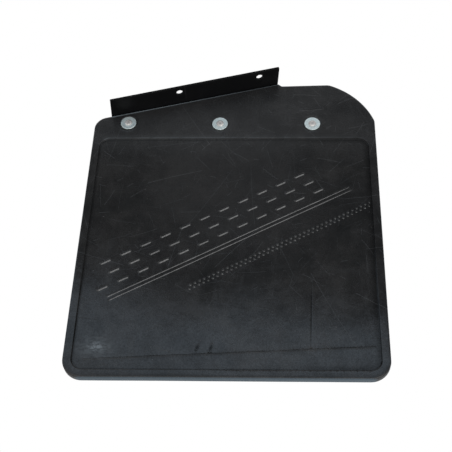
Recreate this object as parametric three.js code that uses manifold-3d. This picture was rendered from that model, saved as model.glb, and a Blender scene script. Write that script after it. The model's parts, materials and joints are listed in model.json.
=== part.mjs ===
// A vehicle mud flap, one of a mirrored pair: a moulded rubber flap riveted to a folded steel bracket.
// Millimetres. +Z up, +X across the width, -Y towards the embossed front face.
// Every piece is drawn in the flap's own frame, whose corner is the bottom left of the front face:
// x from the left side, y from the front face towards the back, z up from the bottom edge.
// The flap's group then moves the seat on the flange, midway between its bolt holes, to the origin.

import * as THREE from "three";
import { mergeVertices } from "three/addons/utils/BufferGeometryUtils.js";
import Module from "manifold-3d";

const manifold = await Module();
manifold.setup();

// ---------------------------------------------------------------- driving dimensions

const CLEARANCE = 0.3; // between two pieces that touch on the real flap

// rubber moulding
const FLAP_WIDTH = 360;
const RUBBER_THICKNESS = 9;
const EDGE_ROUNDING = 2;
const BOTTOM_CORNER_RADIUS = 23;
const BOTTOM_RISE = 1.8; // of the bottom edge, from left to right
const LEFT_SHOULDER_RADIUS = 18;
const SLOPE_ANGLE = THREE.MathUtils.degToRad(14);
const SLOPE_FOOT = 361.2; // height of the sloped top edge where it would meet the left side
const SLOPE_END = { x: 237.5, radius: 3 }; // highest point, beside the flange's right end
const STEP_FOOT = { x: 241.5, z: 416.6, radius: 3 }; // where the nearly level top edge starts
const SHOULDER_START = { x: 303.5, z: 418.3, radius: 15 }; // and where it ends
const SHOULDER_BULGE = { x: 344.5, z: 399.5, radius: 98 };
const SHOULDER_END = { z: 357.5, radius: 12 }; // top of the straight right side

// recessed panel inside the raised rim
const RIM_WIDTH = 10;
const RECESS_DEPTH = 2;
const RECESS_TOP = 329;
const RECESS_CORNER_RADIUS = 12;

// folded steel bracket
const STEEL = 3;
const BEND_INNER_RADIUS = 1.5;
const FLANGE_START = 19.6; // x of the flange's left end, at the back of the leg
const FLANGE_LENGTH = 222.4;
const FLANGE_GAP = 0.5; // between the rubber's sloped edge and the flange
const FLANGE_REACH = 28.6; // how far the flange stands in front of the rubber
const FLANGE_SKEW = 0.08; // sideways lean of the flange's ends, per unit of reach
const FLANGE_HOLE_RADIUS = 4.25; // clears an M8 bolt
const FLANGE_HOLE_REACH = 18.9;
const FLANGE_HOLES = [93, 199]; // along the flange, from its left end
const LEG_RIGHT = 301;
const LEG_BOTTOM = 338;
const LEG_TOP = 413; // to the right of the flange
const LEG_CORNER_RADIUS = 8;
const LEG_INSET = 1; // of the leg's sides from the flange's ends
const BEND_TONGUE = 6; // straight stretch of the folded strip that joins the leg plate
const FLANGE_END_FILLET = 2;
const TONGUE_CORNER_RADIUS = 0.5;

// rivets and washers
const RIVETS = [
  { name: "left", x: 44, z: 354.5 },
  { name: "middle", x: 162.5, z: 352.5 },
  { name: "right", x: 280.5, z: 352 },
];
const WASHER_RADIUS = 10;
const WASHER_HOLE_RADIUS = 2.7;
const WASHER_THICKNESS = 1.4;
const WASHER_SINK = 0.8; // how far the washer is pulled into the rubber
const RIVET_RADIUS = 2.4;
const RIVET_HOLE_ALLOWANCE = 0.25; // around the shank, in the rubber and the leg
const RIVET_HEAD_RADIUS = 4.75;
const RIVET_HEAD_HEIGHT = 1.7;
const RIVET_HEAD_RIM = 0.3; // height of the head's edge, below its dome
const RIVET_TAIL_RADIUS = 3.7;
const RIVET_TAIL_LENGTH = 6;
const RIVET_TAIL_BARREL = 3; // from the leg to where the tail starts to narrow
const RIVET_TAIL_CHAMFER = 0.8;
const SOCKET_DEPTH = 2; // of the tail's socket for the mandrel's head
const SOCKET_LEAD = 1; // length of the cone between that socket and the bore
const MANDREL_RADIUS = 1.3;
const MANDREL_HEAD_RADIUS = 2.1;
const MANDREL_GAP = 0.15; // around the mandrel, in the rivet's bore
const MANDREL_RECESS = 0.3; // of the broken face, below the top of the rivet's head
const MANDREL_NOSE = 1; // rounded end that shows beyond the tail

// flexing line, where the free rubber bends below the bracket
const FLEX_HEIGHT = 329;

// flats that stand for each curve
const CORNER_FLATS = 14; // round each rounded corner of an outline
const EDGE_FLATS = 3; // across the rubber's rounded edge
const BEND_FLATS = 12; // round the bracket's bend and the flex line
const HOLE_FLATS = 32;
const WASHER_FLATS = 48;
const RIVET_FLATS = 32;
const MANDREL_FLATS = 24;
const DOME_FLATS = 6; // from a dome's rim to its top

// ---------------------------------------------------------------- derived sizes

const SLOPE = Math.tan(SLOPE_ANGLE);
const LEG_FRONT = RUBBER_THICKNESS + CLEARANCE;
const LEG_BACK = LEG_FRONT + STEEL;
const BEND_OUTER_RADIUS = BEND_INNER_RADIUS + STEEL;
const FLANGE_FOOT = SLOPE_FOOT + FLANGE_GAP / Math.cos(SLOPE_ANGLE);
const WASHER_FRONT = WASHER_SINK - CLEARANCE - WASHER_THICKNESS;
const HEAD_SEAT = WASHER_FRONT - CLEARANCE / 2;
const TAIL_START = LEG_BACK + CLEARANCE / 2;
const TAIL_END = TAIL_START + RIVET_TAIL_LENGTH;
const SHANK_HOLE_RADIUS = RIVET_RADIUS + RIVET_HOLE_ALLOWANCE;
const BORE_RADIUS = MANDREL_RADIUS + MANDREL_GAP;
const SOCKET_RADIUS = MANDREL_HEAD_RADIUS + MANDREL_GAP;
const FLEX_DEPTH = RUBBER_THICKNESS / 2;
const SPAN = 2 * FLAP_WIDTH; // longer than any cut needs

// the seat on the flange's upper face, midway between the two bolt holes
const SEAT_ALONG = (FLANGE_HOLES[0] + FLANGE_HOLES[1]) / 2;
const SEAT = new THREE.Vector3(SEAT_ALONG, -FLANGE_HOLE_REACH, STEEL)
  .applyAxisAngle(new THREE.Vector3(0, 1, 0), -SLOPE_ANGLE)
  .add(new THREE.Vector3(FLANGE_START, 0, FLANGE_FOOT + FLANGE_START * SLOPE));

// ---------------------------------------------------------------- solids and outlines

/** A manifold solid from a closed three.js geometry. */
function solidFrom(geometry) {
  const bare = new THREE.BufferGeometry();
  bare.setAttribute("position", geometry.getAttribute("position"));
  if (geometry.index) bare.setIndex(geometry.index);
  const merged = mergeVertices(bare, 1e-4);
  const mesh = new manifold.Mesh({
    numProp: 3,
    vertProperties: new Float32Array(merged.getAttribute("position").array),
    triVerts: new Uint32Array(merged.index.array),
  });
  return new manifold.Manifold(mesh);
}

/** A three.js geometry from a manifold solid. */
function geometryFrom(solid) {
  const mesh = solid.getMesh();
  const geometry = new THREE.BufferGeometry();
  geometry.setAttribute("position", new THREE.BufferAttribute(mesh.vertProperties, 3));
  geometry.setIndex(new THREE.BufferAttribute(mesh.triVerts, 1));
  geometry.computeVertexNormals();
  return geometry;
}

/** A closed outline through corners {x, z, radius}, anticlockwise, each rounded by a tangent arc. */
function roundedOutline(corners) {
  const shape = new THREE.Shape();
  corners.forEach((corner, i) => {
    const at = new THREE.Vector2(corner.x, corner.z);
    const before = corners[(i + corners.length - 1) % corners.length];
    const after = corners[(i + 1) % corners.length];
    const back = new THREE.Vector2(before.x, before.z).sub(at).normalize();
    const onward = new THREE.Vector2(after.x, after.z).sub(at).normalize();
    const halfAngle = Math.acos(back.dot(onward)) / 2;
    const start = at.clone().addScaledVector(back, corner.radius / Math.tan(halfAngle));
    const centre = at.clone().addScaledVector(
      back.clone().add(onward).normalize(),
      corner.radius / Math.sin(halfAngle),
    );
    const end = at.clone().addScaledVector(onward, corner.radius / Math.tan(halfAngle));
    const startAngle = start.clone().sub(centre).angle();
    const endAngle = end.clone().sub(centre).angle();
    if (i === 0) shape.moveTo(start.x, start.y);
    else shape.lineTo(start.x, start.y);
    const clockwise = back.cross(onward) > 0;
    shape.absarc(centre.x, centre.y, corner.radius, startAngle, endAngle, clockwise);
  });
  return shape;
}

/** An outline in x and z, extruded from yFront to yFront + thickness, its edges rounded if asked. */
function plate(outline, yFront, thickness, rounding = 0) {
  const geometry = new THREE.ExtrudeGeometry(outline, {
    depth: thickness - 2 * rounding,
    curveSegments: CORNER_FLATS,
    bevelEnabled: rounding > 0,
    bevelThickness: rounding,
    bevelSize: rounding,
    bevelOffset: -rounding,
    bevelSegments: EDGE_FLATS,
  });
  geometry.rotateX(Math.PI / 2);
  geometry.translate(0, yFront + thickness - rounding, 0);
  return solidFrom(geometry);
}

/** A section in y and z, extruded along x from x = 0. */
function alongX(section, length) {
  const geometry = new THREE.ExtrudeGeometry(section, {
    depth: length,
    curveSegments: BEND_FLATS,
    bevelEnabled: false,
  });
  const x = new THREE.Vector3(1, 0, 0);
  const y = new THREE.Vector3(0, 1, 0);
  const z = new THREE.Vector3(0, 0, 1);
  return geometry.applyMatrix4(new THREE.Matrix4().makeBasis(y, z, x));
}

/** A cylinder along Y, for cutting holes. */
function borer(radius, x, z, yFrom, yTo) {
  const geometry = new THREE.CylinderGeometry(radius, radius, yTo - yFrom, HOLE_FLATS);
  geometry.translate(x, (yFrom + yTo) / 2, z);
  return solidFrom(geometry);
}

/** A piece turned about the Y axis, from [radius, y] pairs with the material on their left. */
function turned(profile, flats) {
  const points = profile.map(([radius, y]) => new THREE.Vector2(radius, y));
  return solidFrom(new THREE.LatheGeometry(points, flats));
}

/** [radius, y] pairs up a dome, from its rim at y = base to its top, which ends at a smaller radius. */
function dome(rimRadius, topRadius, base, top) {
  const wholeTurn = Math.acos(topRadius / rimRadius);
  return Array.from({ length: DOME_FLATS + 1 }, (_, i) => {
    const turn = (i / DOME_FLATS) * wholeTurn;
    const rise = Math.sin(turn) / Math.sin(wholeTurn);
    return [rimRadius * Math.cos(turn), base + (top - base) * rise];
  });
}

// ---------------------------------------------------------------- rubber

/** The whole moulding's outline. */
function flapOutline() {
  return roundedOutline([
    { x: 0, z: 0, radius: BOTTOM_CORNER_RADIUS },
    { x: FLAP_WIDTH, z: BOTTOM_RISE, radius: BOTTOM_CORNER_RADIUS },
    { x: FLAP_WIDTH, ...SHOULDER_END },
    SHOULDER_BULGE,
    SHOULDER_START,
    STEP_FOOT,
    { z: SLOPE_FOOT + SLOPE_END.x * SLOPE, ...SLOPE_END },
    { x: 0, z: SLOPE_FOOT, radius: LEFT_SHOULDER_RADIUS },
  ]);
}

/** The whole moulding before it is hollowed. */
function moulding() {
  return plate(flapOutline(), 0, RUBBER_THICKNESS, EDGE_ROUNDING);
}

/** The hollow in front of the panel, inside the rim and below the thick top land. */
function recess() {
  const right = FLAP_WIDTH - RIM_WIDTH;
  const inner = BOTTOM_CORNER_RADIUS - RIM_WIDTH;
  const outline = roundedOutline([
    { x: RIM_WIDTH, z: RIM_WIDTH, radius: inner },
    { x: right, z: RIM_WIDTH + BOTTOM_RISE, radius: inner },
    { x: right, z: RECESS_TOP, radius: RECESS_CORNER_RADIUS },
    { x: RIM_WIDTH, z: RECESS_TOP, radius: RECESS_CORNER_RADIUS },
  ]);
  return plate(outline, RECESS_DEPTH - RUBBER_THICKNESS, RUBBER_THICKNESS);
}

/** Everything below the flexing line, with a half-round top edge that turns about that line. */
function belowFlexLine() {
  const section = new THREE.Shape();
  section.moveTo(-RUBBER_THICKNESS, -RUBBER_THICKNESS);
  section.lineTo(2 * RUBBER_THICKNESS, -RUBBER_THICKNESS);
  section.lineTo(2 * RUBBER_THICKNESS, FLEX_HEIGHT);
  section.lineTo(RUBBER_THICKNESS, FLEX_HEIGHT);
  section.absarc(FLEX_DEPTH, FLEX_HEIGHT, FLEX_DEPTH, 0, Math.PI, false);
  section.lineTo(-RUBBER_THICKNESS, FLEX_HEIGHT);
  return solidFrom(alongX(section, SPAN).translate(-SPAN / 4, 0, 0));
}

/** Everything above the flexing line, clear of the half-round edge below it. */
function aboveFlexLine() {
  const geometry = new THREE.BoxGeometry(SPAN, SPAN, SPAN);
  geometry.translate(0, 0, FLEX_HEIGHT + FLEX_DEPTH + CLEARANCE + SPAN / 2);
  return solidFrom(geometry);
}

/** The thick top land that the bracket clamps, with a seat and a hole for each rivet. */
function topBand() {
  let band = moulding().intersect(aboveFlexLine());
  for (const { x, z } of RIVETS) {
    const seat = borer(WASHER_RADIUS + CLEARANCE, x, z, -RUBBER_THICKNESS, WASHER_SINK);
    const hole = borer(SHANK_HOLE_RADIUS, x, z, -RUBBER_THICKNESS, 2 * RUBBER_THICKNESS);
    band = band.subtract(seat).subtract(hole);
  }
  return band;
}

/** The free part of the moulding: rim and recessed panel. */
function swingingPanel() {
  return moulding().intersect(belowFlexLine()).subtract(recess());
}

// ---------------------------------------------------------------- bracket

/** The flange and its bend: an L section drawn square to the sloped edge and extruded along it. */
function flange() {
  const tongue = BEND_INNER_RADIUS + BEND_TONGUE;
  const bendY = LEG_FRONT - BEND_INNER_RADIUS;
  const bendZ = -BEND_INNER_RADIUS;
  const section = new THREE.Shape();
  section.moveTo(-FLANGE_REACH, 0);
  section.lineTo(bendY, 0);
  section.absarc(bendY, bendZ, BEND_INNER_RADIUS, Math.PI / 2, 0, true);
  section.lineTo(LEG_FRONT, -tongue);
  section.lineTo(LEG_BACK, -tongue);
  section.lineTo(LEG_BACK, bendZ);
  section.absarc(bendY, bendZ, BEND_OUTER_RADIUS, 0, Math.PI / 2, false);
  section.lineTo(-FLANGE_REACH, STEEL);
  const skew = new THREE.Matrix4().makeShear(0, 0, -FLANGE_SKEW, 0, 0, 0);
  const skewed = alongX(section, FLANGE_LENGTH).applyMatrix4(skew);
  let bar = solidFrom(skewed.translate(FLANGE_SKEW * LEG_BACK, 0, 0));
  for (const along of FLANGE_HOLES) {
    const depth = 4 * STEEL; // more than the flange's thickness, on both sides
    const hole = new THREE.CylinderGeometry(FLANGE_HOLE_RADIUS, FLANGE_HOLE_RADIUS, depth, HOLE_FLATS);
    hole.rotateX(Math.PI / 2);
    hole.translate(along, -FLANGE_HOLE_REACH, 0);
    bar = bar.subtract(solidFrom(hole));
  }
  const degrees = -THREE.MathUtils.radToDeg(SLOPE_ANGLE);
  return bar.rotate([0, degrees, 0]).translate([FLANGE_START, 0, FLANGE_FOOT + FLANGE_START * SLOPE]);
}

/** The leg behind the rubber, which carries all three rivets. */
function leg() {
  const left = FLANGE_START + LEG_INSET;
  const notch = FLANGE_START + FLANGE_LENGTH * Math.cos(SLOPE_ANGLE) - LEG_INSET;
  const drop = (BEND_INNER_RADIUS + BEND_TONGUE / 2) / Math.cos(SLOPE_ANGLE);
  const slopeAt = (x) => FLANGE_FOOT + x * SLOPE - drop;
  const outline = roundedOutline([
    { x: left, z: LEG_BOTTOM, radius: LEG_CORNER_RADIUS },
    { x: LEG_RIGHT, z: LEG_BOTTOM, radius: LEG_CORNER_RADIUS },
    { x: LEG_RIGHT, z: LEG_TOP, radius: LEG_CORNER_RADIUS },
    { x: notch, z: LEG_TOP, radius: FLANGE_END_FILLET },
    { x: notch, z: slopeAt(notch), radius: TONGUE_CORNER_RADIUS },
    { x: left, z: slopeAt(left), radius: TONGUE_CORNER_RADIUS },
  ]);
  let made = plate(outline, LEG_FRONT, STEEL);
  for (const { x, z } of RIVETS) {
    made = made.subtract(borer(SHANK_HOLE_RADIUS, x, z, 0, 2 * LEG_BACK));
  }
  return made;
}

// ---------------------------------------------------------------- fixings

/** A plain penny washer. */
function washer() {
  const back = WASHER_FRONT + WASHER_THICKNESS;
  const corner = WASHER_THICKNESS / 3;
  const profile = [
    [WASHER_HOLE_RADIUS, WASHER_FRONT],
    [WASHER_RADIUS - corner, WASHER_FRONT],
    [WASHER_RADIUS, WASHER_FRONT + corner],
    [WASHER_RADIUS, back],
    [WASHER_HOLE_RADIUS, back],
    [WASHER_HOLE_RADIUS, WASHER_FRONT],
  ];
  return turned(profile, WASHER_FLATS);
}

/** A set blind rivet: domed head in front, shank through the stack, swollen tail behind the leg. */
function rivetBody() {
  const profile = [
    [RIVET_RADIUS, HEAD_SEAT],
    [RIVET_HEAD_RADIUS, HEAD_SEAT],
    ...dome(RIVET_HEAD_RADIUS, BORE_RADIUS, HEAD_SEAT - RIVET_HEAD_RIM, HEAD_SEAT - RIVET_HEAD_HEIGHT),
    [BORE_RADIUS, TAIL_END - SOCKET_DEPTH - SOCKET_LEAD],
    [SOCKET_RADIUS, TAIL_END - SOCKET_DEPTH],
    [SOCKET_RADIUS, TAIL_END],
    [RIVET_TAIL_RADIUS - RIVET_TAIL_CHAMFER, TAIL_END],
    [RIVET_TAIL_RADIUS, TAIL_START + RIVET_TAIL_BARREL],
    [RIVET_TAIL_RADIUS, TAIL_START + RIVET_TAIL_CHAMFER],
    [RIVET_TAIL_RADIUS - RIVET_TAIL_CHAMFER, TAIL_START],
    [RIVET_RADIUS, TAIL_START],
    [RIVET_RADIUS, HEAD_SEAT],
  ];
  return turned(profile.reverse(), RIVET_FLATS);
}

/** The broken-off mandrel that stays inside a set blind rivet. */
function mandrel() {
  const front = HEAD_SEAT - RIVET_HEAD_HEIGHT + MANDREL_RECESS;
  const neck = TAIL_END - SOCKET_DEPTH - SOCKET_LEAD + 2 * MANDREL_GAP;
  const profile = [
    [0, front],
    [MANDREL_RADIUS, front],
    [MANDREL_RADIUS, neck],
    [MANDREL_HEAD_RADIUS, neck + SOCKET_LEAD],
    ...dome(MANDREL_HEAD_RADIUS, 0, TAIL_END, TAIL_END + MANDREL_NOSE),
  ];
  return turned(profile, MANDREL_FLATS);
}

// ---------------------------------------------------------------- assembly

const rubber = new THREE.MeshStandardMaterial({ color: 0x242628, roughness: 0.62, metalness: 0 });
const blackPaint = new THREE.MeshStandardMaterial({ color: 0x0b0b0c, roughness: 0.35, metalness: 0 });
const zinc = new THREE.MeshStandardMaterial({ color: 0xa9b6ba, roughness: 0.42, metalness: 0.9 });
const aluminium = new THREE.MeshStandardMaterial({ color: 0xb1aaa4, roughness: 0.38, metalness: 0.9 });
const steelWire = new THREE.MeshStandardMaterial({ color: 0x8e8f91, roughness: 0.5, metalness: 0.9 });

/** A named mesh of a solid. */
function piece(name, solid, material) {
  const mesh = new THREE.Mesh(geometryFrom(solid), material);
  mesh.name = name;
  return mesh;
}

const flap = new THREE.Group();
flap.position.copy(SEAT).negate();
flap.add(piece("mounting_bracket", leg().add(flange()), blackPaint));
flap.add(piece("rubber_top_band", topBand(), rubber));
flap.add(piece("rubber_swinging_panel", swingingPanel(), rubber));

for (const { name, x, z } of RIVETS) {
  const fixing = new THREE.Group();
  fixing.position.set(x, 0, z);
  fixing.add(piece(`front_washer_${name}`, washer(), zinc));
  fixing.add(piece(`rivet_body_${name}`, rivetBody(), aluminium));
  fixing.add(piece(`rivet_mandrel_${name}`, mandrel(), steelWire));
  flap.add(fixing);
}

const group = new THREE.Group();
group.add(flap);

export default group;
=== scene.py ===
"""The looks of a mud flap: one bending rubber moulding, a folded bracket, washers and blind rivets."""

import json
import math

import bmesh
import bpy
import numpy as np
from mathutils import Matrix, Vector
from mathutils.geometry import delaunay_2d_cdt
from mathutils.kdtree import KDTree

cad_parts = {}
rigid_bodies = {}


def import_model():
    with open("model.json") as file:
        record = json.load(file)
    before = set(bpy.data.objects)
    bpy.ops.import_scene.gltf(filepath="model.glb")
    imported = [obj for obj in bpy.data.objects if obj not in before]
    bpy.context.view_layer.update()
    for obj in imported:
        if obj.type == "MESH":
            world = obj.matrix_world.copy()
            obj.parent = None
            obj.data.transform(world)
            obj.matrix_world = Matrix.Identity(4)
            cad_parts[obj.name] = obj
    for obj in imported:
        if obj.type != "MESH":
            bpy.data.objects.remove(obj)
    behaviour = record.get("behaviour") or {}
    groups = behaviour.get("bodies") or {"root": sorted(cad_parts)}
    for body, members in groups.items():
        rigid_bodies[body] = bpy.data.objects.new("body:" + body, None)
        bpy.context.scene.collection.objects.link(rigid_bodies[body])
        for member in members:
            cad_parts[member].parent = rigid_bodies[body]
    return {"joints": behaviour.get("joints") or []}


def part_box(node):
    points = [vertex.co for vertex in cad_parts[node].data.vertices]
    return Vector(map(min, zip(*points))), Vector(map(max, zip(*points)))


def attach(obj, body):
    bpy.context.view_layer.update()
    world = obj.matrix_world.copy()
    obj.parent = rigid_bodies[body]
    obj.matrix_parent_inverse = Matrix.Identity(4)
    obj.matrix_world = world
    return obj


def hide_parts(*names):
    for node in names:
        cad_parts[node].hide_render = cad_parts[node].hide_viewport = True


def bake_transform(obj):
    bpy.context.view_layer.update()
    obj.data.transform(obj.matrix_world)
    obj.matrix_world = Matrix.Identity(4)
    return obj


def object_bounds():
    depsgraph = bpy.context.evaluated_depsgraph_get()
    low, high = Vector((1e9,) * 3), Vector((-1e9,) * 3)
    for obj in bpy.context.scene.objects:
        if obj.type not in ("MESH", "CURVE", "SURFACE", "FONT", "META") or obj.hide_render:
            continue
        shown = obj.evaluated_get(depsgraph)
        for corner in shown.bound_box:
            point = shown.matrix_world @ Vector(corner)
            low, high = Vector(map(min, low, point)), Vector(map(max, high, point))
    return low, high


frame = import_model()
cad_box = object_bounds()

# Shapes are drawn in millimetres in the flap's own frame: x from its left side, y from its front
# face towards the back, z up from its bottom edge. placed() takes them to the frame's metres.

MM = 0.001
MERGE_DISTANCE = 0.004  # points of one mesh that are nearer than this are one
ARC_TURN = math.radians(15)  # most that an arc turns between two points
GRID_CLEARANCE = 0.52  # of a face's loose points from its lines, as a share of their spacing
PANEL_LOW, PANEL_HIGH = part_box("rubber_swinging_panel")
CORNER = np.array(PANEL_LOW)
WIDTH = (PANEL_HIGH.x - PANEL_LOW.x) / MM
THICKNESS = (PANEL_HIGH.y - PANEL_LOW.y) / MM

# ---------------------------------------------------------------- rubber moulding

EDGE_ROUNDING = 2.0
BACK_ROUNDING = 1.0
SLOPE = math.tan(math.radians(14))  # of the top edge and of the bracket's flange
SLOPE_FOOT = 361.2
BOTTOM_RISE = 1.8  # of the bottom edge, from left to right
OUTLINE = [  # corners (x, z, radius), anticlockwise from the bottom left
    (0, 0, 23),
    (WIDTH, BOTTOM_RISE, 23),
    (WIDTH, 357.5, 12),
    (344.5, 399.5, 98),
    (303.5, 418.3, 15),
    (241.5, 416.6, 3),
    (237.5, SLOPE_FOOT + 237.5 * SLOPE, 3),
    (0, SLOPE_FOOT, 18),
]
RIM = 10.0
RECESS_DEPTH = 2.0
RECESS_TOP = 329.0
RECESS = [
    (RIM, RIM, 13),
    (WIDTH - RIM, RIM + BOTTOM_RISE, 13),
    (WIDTH - RIM, RECESS_TOP, 12),
    (RIM, RECESS_TOP, 12),
]
# walls are (offset inward, share of the depth) pairs
RECESS_WALL = [(-0.8, 0), (-0.5, 0.04), (-0.25, 0.2), (0, 0.5), (0.25, 0.8), (0.5, 0.96), (0.8, 1)]
TOP_WALL_SPREAD = 0.45  # the wall below the top land takes up this share of the others' width
TOP_WALL_WAVER = [(0.3, 31, 0), (0.15, 11, 1)]  # height, length per radian and phase
OUTLINE_STEP = 2.6  # between points along the outline
RECESS_STEP = 2.4
BAR_STEP = 1.6
FRONT_SPACING = 3.6  # of the triangles' corners
BACK_SPACING = 5.5

# the raised pattern is a plain band of bars, two ribs and two rows of pips
BAND_ANGLE = math.radians(28.7)
BAND_START = (35.0, 112.0)
BAND_LENGTH = 322.0
BAR_ROWS = 3
BAR_ROW_GAP = 15.5
BAR_PITCH = 26.0
BAR_SIZE = (13.5, 2.8)
BAR_HEIGHT = 1.2
BAR_ROUNDING = 1.1
BAR_LEAN = -0.5
RIB_DROPS = (13.0, 18.0)  # below the lowest row of bars
RIB_WIDTH = 1.7
RIB_HEIGHT = 0.65
RIB_ROUNDING = 0.8
STAMPED_WALL = [(-0.5, 0), (-0.4, 0.04), (0.4, 0.96), (0.55, 1)]  # offsets per unit of height
PIP_START = (136.0, 112.0)
PIP_PITCH = 6.0
PIP_COUNT = 41
PIP_RADIUS = 1.3
PIP_HEIGHT = 1.05
PIP_PARTS = 16
PIP_ROWS = 2
PIP_ROW_GAP = 4.2

# marks of moulding and use: middle (x, z), length, width, slope in degrees, height (below 0 sinks)
SURFACE_MARKS = [((184, 31.5), 322, 1.6, 3.2, 0.1)]
LAND_MARKS = [((280, 376.5), 32, 2.2, 4, -0.25)]
SURFACE_NICKS = [
    ((148.5, 38), 9, 3.4, 66, -0.12),
    ((163.5, 37.4), 12, 3.8, 76, -0.12),
    ((274.8, 81), 84, 1.5, 88.5, -0.4),
]
MARK_WALL = [(-0.3, 0), (0.05, 0.5), (0.35, 1)]

# slow waves that the free rubber has taken: length across x and z, turn of phase, height
WAVES = [((210, 330), 0.6, 0.13), ((-160, 240), 2.1, 0.08), ((95, -140), 4.0, 0.03)]
WAVES_END = (295, 330)  # the bracket holds the rubber flat above

# looks of the rubber, in flap millimetres
SCUFF_PLACE = (36.0, 38.0)
SCUFF_RADIUS = 26.0
SCUFF_SQUEEZE = (0.8, 8, 1.25)
# a broad painted highlight: a lighter patch of the rubber's colour, full out to the first distance round this
# place and gone by the second
PAINTED_HIGHLIGHT_CENTRE = (185, 0, 255)
PAINTED_HIGHLIGHT_FULL = 30.0
PAINTED_HIGHLIGHT_REACH = 150.0
BACK_LOOKS = (3, 4)  # depths between which the front's looks turn to the back's
RIGHT_LOOKS = (200, 335)  # and x between which they turn to the right side's
RUBBER_SCRATCHES = [  # cell, length, width in metres, bend, share of the cells, shift
    (0.022, 0.038, 0.00016, 0.15, 0.35, (0.2, 0, 0.1)),
    (0.026, 0.048, 0.00013, 0.1, 0.7, (0.5, 0, 0.6)),
    (0.085, 0.15, 0.0002, 0.08, 0.6, (0.7, 0, 0.3)),
    (0.013, 0.011, 0.0002, 0.2, 0.25, (0.4, 0, 0.9)),
]

# ---------------------------------------------------------------- bracket

STEEL = 3.0
CLEARANCE = 0.3
LEG_FRONT = THICKNESS + CLEARANCE
BEND_INNER_RADIUS = 1.5
BEND_LENGTH = (BEND_INNER_RADIUS + STEEL / 2) * math.pi / 2  # of the sheet, along its middle
BEND_ROWS = 8
FLANGE_START = 19.6  # x of its left end
FLANGE_LENGTH = 222.4
FLANGE_REACH = 28.6  # in front of the rubber
FLANGE_SKEW = 0.08  # sideways lean of its ends, for each unit of reach
FLANGE_GAP = 0.5  # between the rubber's sloped edge and its underside
FLANGE_HOLES = (93.0, 199.0)  # along it, from its left end
FLANGE_HOLE_REACH = 18.9
FLANGE_HOLE_RADIUS = 4.25
FLANGE_NOTCH = 4.0  # beside each end of the bend, down into the leg
FLANGE_CORNER_RADIUS = 1.0
NOTCH_CORNER_RADIUS = 1.5
LEG_LEFT = 20.6
LEG_RIGHT = 301.0
LEG_BOTTOM = 338.0
LEG_TOP = 413.0
LEG_CORNER_RADIUS = 8.0
SHEET_EDGE = 0.35  # rounding of the cut steel's edges
SHEET_STEP = 1.2  # between points along the cut edge
SHEET_SPACING = 5.0
BEND_POINTS = 60  # along each row of the bend

# ---------------------------------------------------------------- fixings

SIDES = ("left", "middle", "right")
WASHER_RADIUS = 10.0
WASHER_HOLE = 2.7
WASHER_THICKNESS = 1.4
WASHER_SINK = 0.8  # of the rubber under it
WASHER_DISH = 0.3  # how far its rim stands in front of its middle
WASHER_FLAT = 0.8  # from the rivet's head to where the dish starts
SHANK_RADIUS = 2.4
SHANK_HOLE = 2.65
SHANK_HOLE_PARTS = 24
HOLE_ROUNDING = 0.1
BOLT_HOLE_PARTS = 40
BOLT_HOLE_ROUNDING = 0.3
# (distance outside a washer's rim, depth) of the rubber pressed up round it
SEAT_SWELL = [(0.3, 0.8), (0.7, 0.3), (1.2, -0.12), (2.0, -0.28), (3.1, -0.2), (4.4, 0)]
HEAD_RADIUS = 4.75
HEAD_HEIGHT = 1.7
HEAD_EDGE = 0.3
CROWN_RADIUS = 3.7  # where the head's rounded shoulder ends
CROWN_FALL = 0.12
CROWN_ROUNDING = 2.0
TAIL_RADIUS = 3.7
TAIL_LENGTH = 6.0
TAIL_WALL = 0.8
TAIL_SHOULDER = 3.0  # from its start to where it tapers
SOCKET_DEPTH = 2.0  # of the mandrel head's seat in the tail's end
SOCKET_TAPER_START = 3.0
MANDREL_RADIUS = 1.3
MANDREL_HEAD_RADIUS = 2.1
MANDREL_GAP = 0.15
MANDREL_SINK = 0.12  # of the snapped end, below the head's face
PROFILE_STEP = 0.12
METALS = {  # dark and light tone, lowest and highest roughness, shift of the blotches
    "zinc_plated_steel": ((0.69, 0.78, 0.78), (0.87, 0.94, 0.93), 0.45, 0.58, (0.1, 0, 0)),
    "rivet_aluminium": ((0.60, 0.575, 0.56), (0.72, 0.70, 0.68), 0.65, 0.75, (0, 0, 0.3)),
    "mandrel_steel": ((0.50, 0.47, 0.455), (0.62, 0.59, 0.57), 0.6, 0.7, (0.5, 0, 0.3)),
}

# ---------------------------------------------------------------- view

LENS = 73.52
SENSOR = 36.0
CAMERA_PLACE = Vector((0.0774, -0.9031, -0.8057))
CAMERA_UP = Vector((-0.00249, -0.54384, 0.83919))
CAMERA_FORWARD = Vector((-0.05693, 0.83791, 0.54284))
FLOOR_DROP = 0.7  # of the floor below the camera
FLOOR_REACH = 40.0
FLOOR_GLOW = 0.88  # keeps it pale without strong lights

# disks of light turned to the object: name, place, width in metres, power in watts
LIGHTS = [
    ("low_light", (0.61, -0.40, -0.92), 0.62, 2.7),
    ("front_light", (0.03, -0.42, -1.12), 0.7, 1.2),
]

# the studio's light by direction: edges are parts of the unit direction, low to high
BEHIND_EDGE = (-0.1, 0.1)
BEHIND_LEVEL = 0.85
CEILING_EDGE = (0.68, 0.85)
CEILING_LEVEL = 1.0
ROOM_LEVEL = 0.162
ROOM_TINT = (0.97, 1.0, 1.03)
GLOW_TOP_EDGE = (0.452, 0.460)
GLOW_TOP_TILT = (0.07, 0, 1)
GLOW_RISE_EDGE = (0.37, 0.43)
GLOW_LOW_LEVEL = 0.62
GLOW_SIDE_EDGE = (-0.2, -0.05)
GLOW_LEFT_LEVEL = 0.96
GLOW_RIGHT_LEVEL = 1.12
GLOW_TINT_EDGE = (0.25, 0.36)
GLOW_TINT = (0.84, 1.0, 1.17)


def placed(points):
    """Flap millimetres to the frame's metres."""
    return CORNER + MM * np.asarray(points, float)


def x_at(x):
    """The frame's x of a place x millimetres from the flap's left side."""
    return placed((x, 0, 0))[0]


def y_at(y):
    """The frame's y of a place y millimetres behind the flap's front face."""
    return placed((0, y, 0))[1]


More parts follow.
